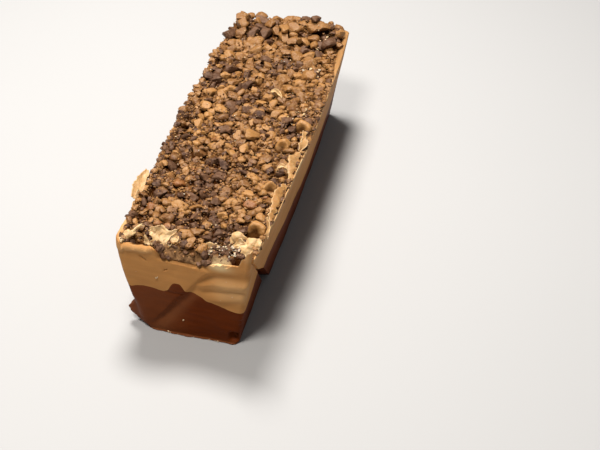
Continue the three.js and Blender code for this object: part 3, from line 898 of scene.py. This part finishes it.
def broken_toffee():
    """Crushed hard toffee: caramel, dull and sugary on its broken faces, each piece with its own shade."""
    material, tree, shader, place = new_material("broken_toffee", roughness=0.5, ior=1.5, specular=0.35)
    tint = add(tree, "ShaderNodeAttribute", attribute_name="tint")["Fac"]
    wave = {"Vector": place, "Scale": per_metre(2.2), "Detail": 5, "Roughness": 0.65}
    sugar = add(tree, "ShaderNodeTexNoise", wave)["Fac"]
    body = layered(tree, colour("#603915"), (tint, 0, 1, 1, "#A5753F"), (tint, 0.93, 0.94, 1, "#825026"))
    body = layered(tree, body, (sugar, 0.48, 0.75, 0.6, "#AC8A5F"))
    gloss = add(tree, "ShaderNodeMapRange", {"Value": sugar, "To Min": 0.25, "To Max": 0.65})
    tree.links.new(gloss[0], shader["Roughness"])
    # Painted shade between the pieces, over their lower parts.
    body = painted_gap_shade(tree, shader, body)
    finish(tree, shader, body, sugar, strength=0.7, millimetres=1.2)
    return material


def broken_chocolate():
    """Chopped dark chocolate: warm brown under a dusty bloom, matte, scuffed paler at random."""
    material, tree, shader, place = new_material("broken_chocolate", roughness=0.55, ior=1.48, specular=0.2)
    wave = {"Vector": place, "Scale": per_metre(2.4), "Detail": 4, "Roughness": 0.6}
    scuff = add(tree, "ShaderNodeTexNoise", wave)["Fac"]
    body = marked(tree, colour("#3A2113"), {"tint": "#5F412C"})
    body = layered(tree, body, (scuff, 0.43, 0.72, 0.8, "#785C47"))
    # Painted shade between the pieces, over their lower parts.
    body = painted_gap_shade(tree, shader, body)
    finish(tree, shader, body, scuff, strength=0.8, millimetres=0.7)
    return material


def packed_crumb():
    """Crumbs of both pressed together: sugary caramel grains, some chocolate, smooth brown where wiped."""
    material, tree, shader, place = new_material("packed_crumb", roughness=0.6, ior=1.48, specular=0.15)
    tint = add(tree, "ShaderNodeAttribute", attribute_name="tint")["Fac"]
    wave = {"Vector": place, "Scale": per_metre(2.2), "Detail": 4, "Roughness": 0.7}
    sugar = add(tree, "ShaderNodeTexNoise", wave)["Fac"]
    wave = {"Vector": place, "Scale": per_metre(6), "Detail": 5, "Roughness": 0.7}
    smear = add(tree, "ShaderNodeTexNoise", wave)["Fac"]
    body = layered(tree, colour("#5F3A19"), (tint, 0.25, 1, 1, "#855B32"), (tint, 0.24, 0.2, 1, "#341F13"))
    body = layered(tree, body, (sugar, 0.5, 0.7, 1, "#946C40"))
    smeared = layered(tree, colour("#553821"), (smear, 0.38, 0.6, 1, "#876543"))
    wipe = add(tree, "ShaderNodeAttribute", attribute_name="wiped")["Fac"]
    # Painted shade between the pieces, where the crumb is not wiped.
    inputs = {SHARE: wipe, FIRST: painted_gap_shade(tree, shader, body), SECOND: smeared}
    body = add(tree, "ShaderNodeMix", inputs, data_type="RGBA")[MIXED]
    body = marked(tree, body, {"pale": "#A18965"})
    finish(tree, shader, body, sugar, strength=1.0, millimetres=1.6)
    return material


def pale_fudge():
    """Torn films and crumbs of toffee fudge: cream where thin, waxy and creased. Some crumbs are white."""
    material, tree, shader, place = new_material("pale_fudge", roughness=0.45, ior=1.46, specular=0.3)
    cloud = add(tree, "ShaderNodeTexNoise", {"Vector": place, "Scale": per_metre(5), "Detail": 4})["Fac"]
    body = layered(tree, colour("#CBAC80"), (cloud, 0.35, 0.65, 1, "#B69263"))
    body = marked(tree, body, {"tint": "#B4A998", "tan": "#9C7142"})
    finish(tree, shader, body, cloud, strength=0.4, millimetres=0.4)
    let_light_in(shader, share=0.2, millimetres=1.5)
    return material


def studio_floor():
    """Matte studio paint: pale, even, without gloss."""
    material, tree, shader, place = new_material("studio_floor", roughness=0.8, ior=1.45, specular=0.2)
    cloud = add(tree, "ShaderNodeTexNoise", {"Vector": place, "Scale": per_metre(400), "Detail": 2})
    body = layered(tree, colour("#AFAFB0"), (cloud["Fac"], 0, 1, 1, "#ACACAD"))
    tree.links.new(body, shader["Base Color"])
    return material


# The topping


def core_piece(material):
    """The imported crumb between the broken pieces: a lumpy top over an underside that follows the trough."""
    columns = int(RIM_WIDTH[1] / CORE_STEP)
    rows = int(BASE_LENGTH / CORE_STEP)
    stations = np.linspace(RIM_SHOWN, BASE_LENGTH - RIM_SHOWN, rows)
    share, station = (grid.ravel() for grid in np.meshgrid(np.linspace(-1, 1, columns), stations))
    half = half_width(station, RIM_HEIGHT)
    across = share * (half - bare_rim(share, station)) / half
    x, y = plan_place(across, station)
    wipe = wiped(x, station)
    top = crown_height(across, station)
    smear = hump(x - SMEAR.x, SMEAR.wide, FLAT_TOP) * hump(station - SMEAR.station, SMEAR.long, FLAT_TOP)
    numbers = []
    for seed, (long, height, wiped_off) in enumerate(CRUMB_GRAINS):
        distance, number = grains(long, seed, x, y)
        numbers.append(number)
        lump = np.clip(1 - (distance / GRAIN_EDGE) ** 2, 0, 1) - 0.5
        top = top + height * lump * (1 - wiped_off * wipe) * (1 - SMEAR.flat * smear)
    bed = bed_height(across, station)
    top = np.maximum(top, bed + BANK_COVER.thick * smooth(station, *BANK_COVER.front))
    under = np.minimum(bed + CORE_UNDER.over_bed, top - CORE_UNDER.thinnest)
    index = np.arange(rows * columns).reshape(rows, columns)
    ring = np.concatenate([index[0, :-1], index[:-1, -1], index[-1, :0:-1], index[:0:-1, 0]])
    below = ring + rows * columns
    faces = grid_faces(rows, columns)
    skirt = np.stack([below, np.roll(below, -1), np.roll(ring, -1), ring], axis=-1)
    places = np.column_stack([np.tile(x, 2), np.tile(y, 2), np.append(top, under)])
    every = np.concatenate([faces, faces[:, ::-1] + rows * columns, skirt])
    core = new_object("packed_crumb", places, every.tolist(), material)
    for name, values in (("tint", numbers[0]), ("wiped", wipe), ("pale", SMEAR.pale * smear)):
        store(core.data, name, np.tile(values, 2))
    return core


class HeapTop:
    """The height of the heap, on a grid of one-millimetre squares, as pieces are added to it."""

    def __init__(self):
        self.low = np.array([-RIM_WIDTH[1] / 2 - HEAP_MARGIN, -BASE_LENGTH / 2 - HEAP_MARGIN])
        columns, rows = (int(-2 * v) for v in self.low)
        self.x, self.y = np.meshgrid(self.low[0] + np.arange(columns), self.low[1] + np.arange(rows))
        station = np.clip((self.y / (BASE_LENGTH / 2 + END_DRAFT) + 1) * BASE_LENGTH / 2, 0, BASE_LENGTH)
        across = np.clip(self.x / half_width(station, RIM_HEIGHT), -1, 1)
        self.core = np.maximum(crown_height(across, station), bed_height(across, station))
        self.top = self.core.copy()

    def window(self, x, y, reach):
        column, row = int(round(x - self.low[0])), int(round(y - self.low[1]))
        reach = int(math.ceil(reach))
        return tuple(slice(max(0, at - reach), at + reach + 1) for at in (row, column))

    def level(self, x, y, size):
        """The heap's mean height under a piece, and how far that is over the core."""
        window = self.window(x, y, LEVEL_REACH * size)
        level = self.top[window].mean()
        return level, level - self.core[window].mean()

    def cells(self, places):
        column, row = (np.round(places[:, axis] - self.low[axis]).astype(int) for axis in (0, 1))
        return tuple(np.clip(at, 0, size - 1) for at, size in zip((row, column), self.top.shape))

    def rest_on(self, core):
        """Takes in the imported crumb's own lumps, where no piece covers them yet."""
        places = vertex_places(core)
        places = places[: len(places) // 2]
        cells = self.cells(places)
        self.top[cells] = np.where(self.top[cells] > self.core[cells], self.top[cells], places[:, 2])

    # The painted shade between the pieces goes by this depth.
    def depth(self, places):
        """How far each place lies below the general height of the heap around it, from 0 to 1."""
        spread = self.top
        kernel = np.ones(2 * GAP_SHADE.reach + 1) / (2 * GAP_SHADE.reach + 1)
        for axis in (0, 1):
            spread = np.apply_along_axis(np.convolve, axis, spread, kernel, "same")
        deepest = GAP_SHADE.deepest * (1 + GAP_SHADE.far * far_share(places[:, 1] + BASE_LENGTH / 2))
        return smooth(spread[self.cells(places)] - places[:, 2], 0, deepest)

    def put(self, site):
        window = self.window(site.x, site.y, site.size / 2)
        wide, narrow, tall = site.form
        away = ((self.x[window] - site.x) ** 2 + (self.y[window] - site.y) ** 2) / (wide * narrow)
        dome = np.where(away < 1, site.z + tall * np.sqrt(np.clip(1 - away, 0, 1)), 0)
        self.top[window] = np.maximum(self.top[window], dome)


def in_clearing(x, station, size):
    reach = size / 2
    return any(
        ((x - middle) / (wide + reach)) ** 2 + ((station - at) / (long + reach)) ** 2 < 1
        for middle, at, wide, long in CLEARINGS
    )


def drawn_form(size, draw):
    """A piece's half sizes and its turns."""
    form = [size / 2, size / 2 * mix(*PIECE_WIDTH, next(draw)), size / 2 * mix(*PIECE_DEPTH, next(draw))]
    tilts = [PIECE_TILT * (2 * next(draw) - 1) for _ in range(2)]
    return form, [*tilts, 2 * math.pi * next(draw)]


def settled(x, y, station, size, kind, heap, draw):
    """A piece set down on the heap, or pressed into it where the knife wiped it smooth."""
    form, turns = drawn_form(size, draw)
    level, _ = heap.level(x, y, size)
    lift = kind.lift * mix(1, -1, float(wiped(x, station)))
    site = Site(x=x, y=y, z=level + lift * form[2], size=size, form=form, turns=turns)
    heap.put(site)
    return site


def drawn_size(kind, i):
    """The size of a kind's next piece, from its largest down."""
    return mix(kind.largest, kind.smallest, math.sqrt(i / kind.count))


def large_sites(heap, draw):
    """The large pieces, drawn in the same order as the CAD draws them."""
    sites = []
    for i in range(LARGE.count):
        size = drawn_size(LARGE, i)
        for _ in range(LARGE.tries):
            station = mix(RIM_SHOWN + size / 2, BASE_LENGTH - RIM_SHOWN - size / 2, next(draw))
            half = half_width(station, RIM_HEIGHT)
            x, y = plan_place((2 * next(draw) - 1) * (half - RIM_SHOWN - size / 2) / half, station)
            near = (math.hypot(s.x - x, s.y - y) < LARGE.spacing * (s.drawn + size) for s in sites)
            if in_clearing(x, station, size) or any(near):
                continue
            for _ in range(2 * PIECE_POINTS):
                next(draw)
            sites.append(settled(x, y, station, size * coarser(station), LARGE, heap, draw))
            sites[-1].drawn = size
            break
    return sites


def smaller_sites(kind, heap, draw):
    """Smaller pieces, the largest first, each in the lowest of a few spots."""
    sites = []
    for i in range(kind.count):
        size = drawn_size(kind, i)
        spots = []
        for _ in range(kind.choices):
            station = mix(*kind.stations, next(draw))
            half = half_width(station, RIM_HEIGHT)
            left, right = (half + RIM_BARE - bare_rim(s, station) - OVERHANG[s] * size for s in OVERHANG)
            x, y = plan_place(mix(-left, right, next(draw)) / half, min(station, BASE_LENGTH))
            y += max(0, station - BASE_LENGTH)
            spots.append((heap.level(x, y, size)[1], x, y, station))
        rise, x, y, station = min(spots)
        chance = mix(1, WIPED.pieces, float(wiped(x, station)))
        chance -= HOLLOW_PIECES * float(hollowed(x, station))
        if rise < kind.heap * next(draw) and next(draw) < chance:
            sites.append(settled(x, y, station, size * coarser(station), kind, heap, draw))
    return sites


def chip_sites(heap, draw):
    sites = []
    for x, station, size in FRONT_CHIPS:
        x, y = plan_place(x / half_width(station, RIM_HEIGHT), station)
        sites.append(settled(x, y, station, size, LARGE, heap, draw))
    return sites


def cup_sites(heap, first):
    """The hollow bubbles, each with its hollow turned the way it faces."""
    sites = []
    for number, (x, station, size, facing) in enumerate(CUPS):
        y = station - BASE_LENGTH / 2
        half = size / 2
        z = heap.level(x, y, size)[0] + CUP.lift * half
        site = Site(x=x, y=y, z=z, size=size, form=[half, half, half * CUP.tall], tint=CUP.tint)
        site.turns = list(Vector(facing).to_track_quat("Z", "Y").to_euler())
        site.number = first["cup"] + number
        heap.put(site)
        sites.append(site)
    return sites


# Broken shapes, and the nodes that put one on every point


def broken_shape(number, detail, broken, hollow):
    """A broken lump of about unit radius, with a hollow in the top of some."""
    seed = SEEDS.shapes + number
    draw = seeded_draws(seed)
    shape = bmesh.new()
    bmesh.ops.create_icosphere(shape, subdivisions=detail, radius=1)
    way = np.array([v.co.normalized() for v in shape.verts])
    planes = int(mix(*broken.planes, next(draw)))
    press = np.zeros(len(way))
    for i in range(planes):
        up = 2 * (i + 0.5) / planes - 1 + PLANE_DRAW.up * (next(draw) - 0.5)
        up = np.clip(up, -PLANE_DRAW.most, PLANE_DRAW.most)
        turn = i * GOLDEN_ANGLE + PLANE_DRAW.turn * next(draw)
        ring = math.sqrt(1 - up**2)
        normal = np.array([ring * math.cos(turn), ring * math.sin(turn), up])
        press += (np.clip(way @ normal, 0, None) / mix(*broken.press, next(draw))) ** broken.sharpness
    radius = press ** (-1 / broken.sharpness)
    for i, long in enumerate(LUMP_LONGS):
        radius = radius * (1 + broken.lumps / (i + 1) * ripple(long, seed + i, *way.T))
    radius = np.minimum(radius, LONGEST)
    if hollow and seed % hollow.every == 0:
        tilts = [hollow.tilt * (next(draw) - 0.5) for _ in range(2)]
        aim = Vector((*tilts, HOLLOW_UP)).normalized()
        away = np.arccos(np.clip(way @ np.array(aim), -1, 1))
        radius = radius * (1 - hollow.deep * hump(away, hollow.wide, hollow.power))
    for vertex, place in zip(shape.verts, way * radius[:, None]):
        vertex.co = place
    name = f"broken_{number:03d}"
    mesh = bpy.data.meshes.new(name)
    shape.to_mesh(mesh)
    shape.free()
    mesh.shade_smooth()
    mesh.set_sharp_from_angle(angle=math.radians(broken.edge))
    return bpy.data.objects.new(name, mesh)


def shape_library():
    """A collection of broken shapes, and the number of the first shape of each kind and size."""
    wanted = []
    for size, made in SHAPES.items():
        hollow = DIMPLE if size == "large" else None
        wanted.append((("toffee", size), made.count, made.detail, TOFFEE_BREAK, hollow))
        wanted.append((("chocolate", size), made.count, made.detail, CHOCOLATE_BREAK, None))
    wanted.append(("cup", len(CUPS), CUP.detail, CUP_BREAK, CUP_HOLLOW))
    library = bpy.data.collections.new("broken_shapes")
    first = {}
    for key, count, *form in wanted:
        first[key] = len(library.objects)
        for number in range(first[key], first[key] + count):
            library.objects.link(broken_shape(number, *form))
    return library, first


def piece_tree():
    """Puts a broken shape on every point, by the point's own size, turn and shape number."""
    tree = bpy.data.node_groups.new("broken_pieces", "GeometryNodeTree")
    for name, way, kind in (
        ("Points", "INPUT", "Geometry"),
        ("Shapes", "INPUT", "Collection"),
        ("Size", "INPUT", "Float"),
        ("Material", "INPUT", "Material"),
        ("Pieces", "OUTPUT", "Geometry"),
    ):
        tree.interface.new_socket(name, in_out=way, socket_type=f"NodeSocket{kind}")
    given = add(tree, "NodeGroupInput")
    form, turns, number = (
        add(tree, "GeometryNodeInputNamedAttribute", {"Name": name}, data_type=kind)[0]
        for name, kind in PIECE_ATTRIBUTES.items()
    )
    scaled = add(tree, "ShaderNodeVectorMath", {0: form, "Scale": given["Size"]}, operation="SCALE")
    turned = add(tree, "FunctionNodeEulerToRotation", {"Euler": turns})
    shapes = {"Collection": given["Shapes"], "Separate Children": True, "Reset Children": True}
    inputs = {
        "Points": given["Points"],
        "Instance": add(tree, "GeometryNodeCollectionInfo", shapes)[0],
        "Pick Instance": True,
        "Instance Index": number,
        "Rotation": turned[0],
        "Scale": scaled[0],
    }
    placed = add(tree, "GeometryNodeInstanceOnPoints", inputs)
    real = add(tree, "GeometryNodeRealizeInstances", {"Geometry": placed[0]})
    painted = add(tree, "GeometryNodeSetMaterial", {"Geometry": real[0], "Material": given["Material"]})
    add(tree, "NodeGroupOutput", {"Pieces": painted[0]})
    return tree


def scattered(name, sites, tree, library, material):
    """One piece made of a broken shape at every site."""
    holder = new_object(name, [(s.x, s.y, s.z) for s in sites], [])
    for attribute, kind in (PIECE_ATTRIBUTES | {"tint": "FLOAT"}).items():
        store(holder.data, attribute, [getattr(s, attribute) for s in sites], kind)
    modifier = holder.modifiers.new("pieces", "NODES")
    modifier.node_group = tree
    values = {"Shapes": library, "Size": MM, "Material": material}
    for socket in tree.interface.items_tree:
        if socket.name in values:
            modifier[socket.identifier] = values[socket.name]
    applied(holder)
    for attribute in PIECE_ATTRIBUTES:
        holder.data.attributes.remove(holder.data.attributes[attribute])
    return holder


def sorted_sites(sites_by_size, first, draw):
    """The sites by kind, toffee or chocolate, each with a shape number and a tint."""
    kinds = {"toffee": [], "chocolate": []}
    for size, sites in sites_by_size.items():
        shape = size if size in SHAPES else "large"
        places = [s.x for s in sites], [s.y for s in sites]
        patches = ripple(CHOCOLATE_PATCHES.long, SEEDS.chocolate, *places)
        for site, patch in zip(sites, patches):
            station = site.y + BASE_LENGTH / 2
            share = CHOCOLATE_SHARE[size] + CHOCOLATE_PATCHES.share * patch
            share += CHOCOLATE_PATCHES.front * hump(station, CHOCOLATE_PATCHES.front_long)
            kind = "chocolate" if next(draw) < share else "toffee"
            site.number = first[(kind, shape)] + int(next(draw) * SHAPES[shape].count)
            site.tint = mix(next(draw), FAR_TINT[kind], FAR_TINT_SHARE * far_share(station))
            kinds[kind].append(site)
    return kinds


# Torn films


def film_sheet(film, seed):
    """The points, faces and tan shares of one film: a ruffled band along a path, with torn edges."""
    path = np.array(film.path, float) - (0, BASE_LENGTH / 2, 0)
    length = np.linalg.norm(np.diff(path, axis=0), axis=1).sum()
    broadest = max(film.wide)
    rows, columns = (int(size / FILM_STEP) + 2 for size in (length, broadest))
    along, side = np.meshgrid(np.linspace(0, 1, rows), np.linspace(-1, 1, columns), indexing="ij")
    ragged = TORN_EDGE.deep * film.ruffle
    ends = ripple(TORN_EDGE.long, seed, side * broadest, np.sign(along - 0.5)).reshape(along.shape)
    along = along + ragged * ends * (2 * along - 1) / length
    knots = np.linspace(0, 1, len(path))
    curves = [np.polyfit(knots, path[:, axis], len(path) - 1) for axis in range(3)]
    spine = np.stack([np.polyval(curve, along) for curve in curves], axis=-1)
    across = np.array(film.across) / np.linalg.norm(film.across)
    breadth = np.interp(along, np.linspace(0, 1, len(film.wide)), film.wide) / 2
    torn = ripple(TORN_EDGE.long, seed, along * length, np.sign(side) * length).reshape(along.shape)
    breadth = np.maximum(breadth + ragged * torn, TORN_EDGE.least)
    run = np.gradient(spine, axis=0)
    up = np.cross(run / np.linalg.norm(run, axis=-1, keepdims=True), across)
    sheet = spine + (side * breadth)[..., None] * across + (film.curl * side**2)[..., None] * up
    sheet = sheet.reshape(-1, 3)
    flat = sheet.copy()
    for ruffle in RUFFLES:
        for axis in range(3):
            waves = ripple(ruffle.long, seed + SEEDS.axis * axis, *flat.T)
            sheet[:, axis] += ruffle.height * film.ruffle * waves
    edge = np.minimum((1 - np.abs(side)) * breadth, np.minimum(along, 1 - along) * length).ravel()
    return sheet, grid_faces(rows, columns), film.tan * smooth(edge, *TORN_EDGE.pale)


def pale_films(material):
    sheets = [film_sheet(film, SEEDS.films + number) for number, film in enumerate(FILMS)]
    places, faces, tans = zip(*sheets)
    starts = np.cumsum([0, *map(len, places)])
    faces = np.concatenate([cells + start for cells, start in zip(faces, starts)])
    films = new_object("pale_films", np.concatenate(places), faces.tolist(), material)
    store(films.data, "tan", np.concatenate(tans))
    wall = films.modifiers.new("wall", "SOLIDIFY")
    wall.thickness = FILM_THICKNESS * MM
    wall.offset = 0
    soft = films.modifiers.new("soft", "SUBSURF")
    soft.levels = soft.render_levels = 1
    return applied(films)


# Pale crumbs


def crumb(place, size, white, first, draw):
    form, turns = drawn_form(size, draw)
    number = first[("toffee", "small")] + int(next(draw) * SHAPES["small"].count)
    tint = max(0, mix(*white, next(draw)))
    x, y, z = place
    return Site(x=x, y=y, z=z, form=form, turns=turns, number=number, tint=tint)


def crumb_and_glint_sites(heap, first, draw):
    sites = []
    for crumbs in TOP_CRUMBS_AND_GLINTS:
        for _ in range(crumbs.count):
            along, side = next(draw), 2 * next(draw) - 1
            size = mix(*crumbs.sizes, next(draw) ** 2)
            if crumbs.x is None:
                share = CRUMB_SPREAD.start + CRUMB_SPREAD.long * along**CRUMB_SPREAD.power
                x, y = plan_place(CRUMB_SPREAD.across * side, BASE_LENGTH * share)
            else:
                x = crumbs.x + crumbs.wide * side
                y = crumbs.station + crumbs.long * (2 * along - 1) - BASE_LENGTH / 2
            z = heap.level(x, y, size)[0] + CRUMB_LIFT * size
            sites.append(crumb((x, y, z), size, crumbs.white, first, draw))
    for x, height, size in FACE_CRUMBS:
        across = np.array([x / half_width(0, height)])
        place = on_loaf(across, np.zeros(1), np.ones(1), np.array([height]))[0]
        sites.append(crumb(place, size, FACE_CRUMB_WHITE, first, draw))
    return sites


# Light, floor and camera


def studio():
    corners = [(x * FLOOR_REACH, y * FLOOR_REACH, 0) for x, y in ((-1, -1), (1, -1), (1, 1), (-1, 1))]
    floor = new_object("floor", corners, [(0, 1, 2, 3)], studio_floor())
    for name, (place, wide, watts, tint) in LIGHTS.items():
        lamp = bpy.data.lights.new(name, "AREA")
        lamp.shape = "DISK"
        lamp.size = wide
        lamp.energy = watts
        lamp.color = colour(tint)[:3]
        holder = bpy.data.objects.new(name, lamp)
        holder.location = place
        holder.rotation_euler = (LIGHT_AIM - Vector(place)).to_track_quat("-Z", "Y").to_euler()
        bpy.context.scene.collection.objects.link(holder)
    world = bpy.data.worlds.new("studio")
    bpy.context.scene.world = world
    world.use_nodes = True
    back = world.node_tree.nodes["Background"].inputs
    back["Color"].default_value = colour("#FFFFFF")
    back["Strength"].default_value = SURROUND
    bpy.context.scene.view_settings.view_transform = "Standard"


def camera():
    lens = bpy.data.cameras.new("camera")
    lens.lens = LENS
    lens.sensor_width = SENSOR
    holder = bpy.data.objects.new("camera", lens)
    aimed = Euler((math.pi / 2 - CAMERA_PITCH, 0, CAMERA_YAW)).to_matrix()
    turned = (aimed @ Matrix.Rotation(CAMERA_ROLL, 3, "Z")).to_4x4()
    holder.matrix_world = Matrix.Translation(Vector(CAMERA_PLACE) * MM) @ turned
    bpy.context.scene.collection.objects.link(holder)
    bpy.context.scene.camera = holder


def main():
    studio()
    camera()
    chocolate, places = fudge_layer("chocolate_fudge", chocolate_rings(), chocolate_fudge())
    # Redder and lighter where thin, and a painted highlight beside the crease.
    store(chocolate.data, "thin", thin_and_lit_share(places))
    toffee, places = fudge_layer("toffee_fudge", toffee_rings(), toffee_fudge())
    # Pale where thin or smeared, with a painted sheen on the face.
    store(toffee.data, "pale", pale_share(places))
    store(toffee.data, "stained", darkened_share(places))
    core = core_piece(packed_crumb())
    library, first = shape_library()
    tree = piece_tree()
    draw = seeded_draws(PIECE_SEED)
    heap = HeapTop()
    sites = {"large": large_sites(heap, draw)}
    cups = cup_sites(heap, first)
    sites["chips"] = chip_sites(heap, draw)
    sites["crags"] = smaller_sites(CRAGS, heap, draw)
    sites["medium"] = smaller_sites(MEDIUM, heap, draw)
    heap.rest_on(core)
    sites["small"] = smaller_sites(SMALL, heap, draw)
    kinds = sorted_sites(sites, first, draw)
    pale = pale_fudge()
    toffee_bits = scattered("broken_toffee", kinds["toffee"] + cups, tree, library, broken_toffee())
    chocolate_bits = scattered("broken_chocolate", kinds["chocolate"], tree, library, broken_chocolate())
    # Painted shade on the crumb and pieces, by how deep each point lies in the heap.
    for piece in (core, toffee_bits, chocolate_bits):
        store(piece.data, "sunk", heap.depth(vertex_places(piece)))
    films = pale_films(pale)
    # Pale crumbs; the whitest scattered ones are also painted highlights for glints.
    crumbs = scattered("pale_crumbs", crumb_and_glint_sites(heap, first, draw), tree, library, pale)
    for piece, slot, nodes in (
        (chocolate, "chocolate_fudge", ["chocolate_layer"]),
        (toffee, "toffee_fudge", ["toffee_layer"]),
        (core, "crushed_topping", ["topping"]),
        (toffee_bits, "crushed_topping", ["topping"]),
        (chocolate_bits, "crushed_topping", ["topping"]),
        (films, "pale_fudge", ["fudge_flake_left", "fudge_flake_right"]),
        (crumbs, "pale_fudge", []),
    ):
        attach(piece, "root")
        if nodes:
            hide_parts(*nodes)


main()
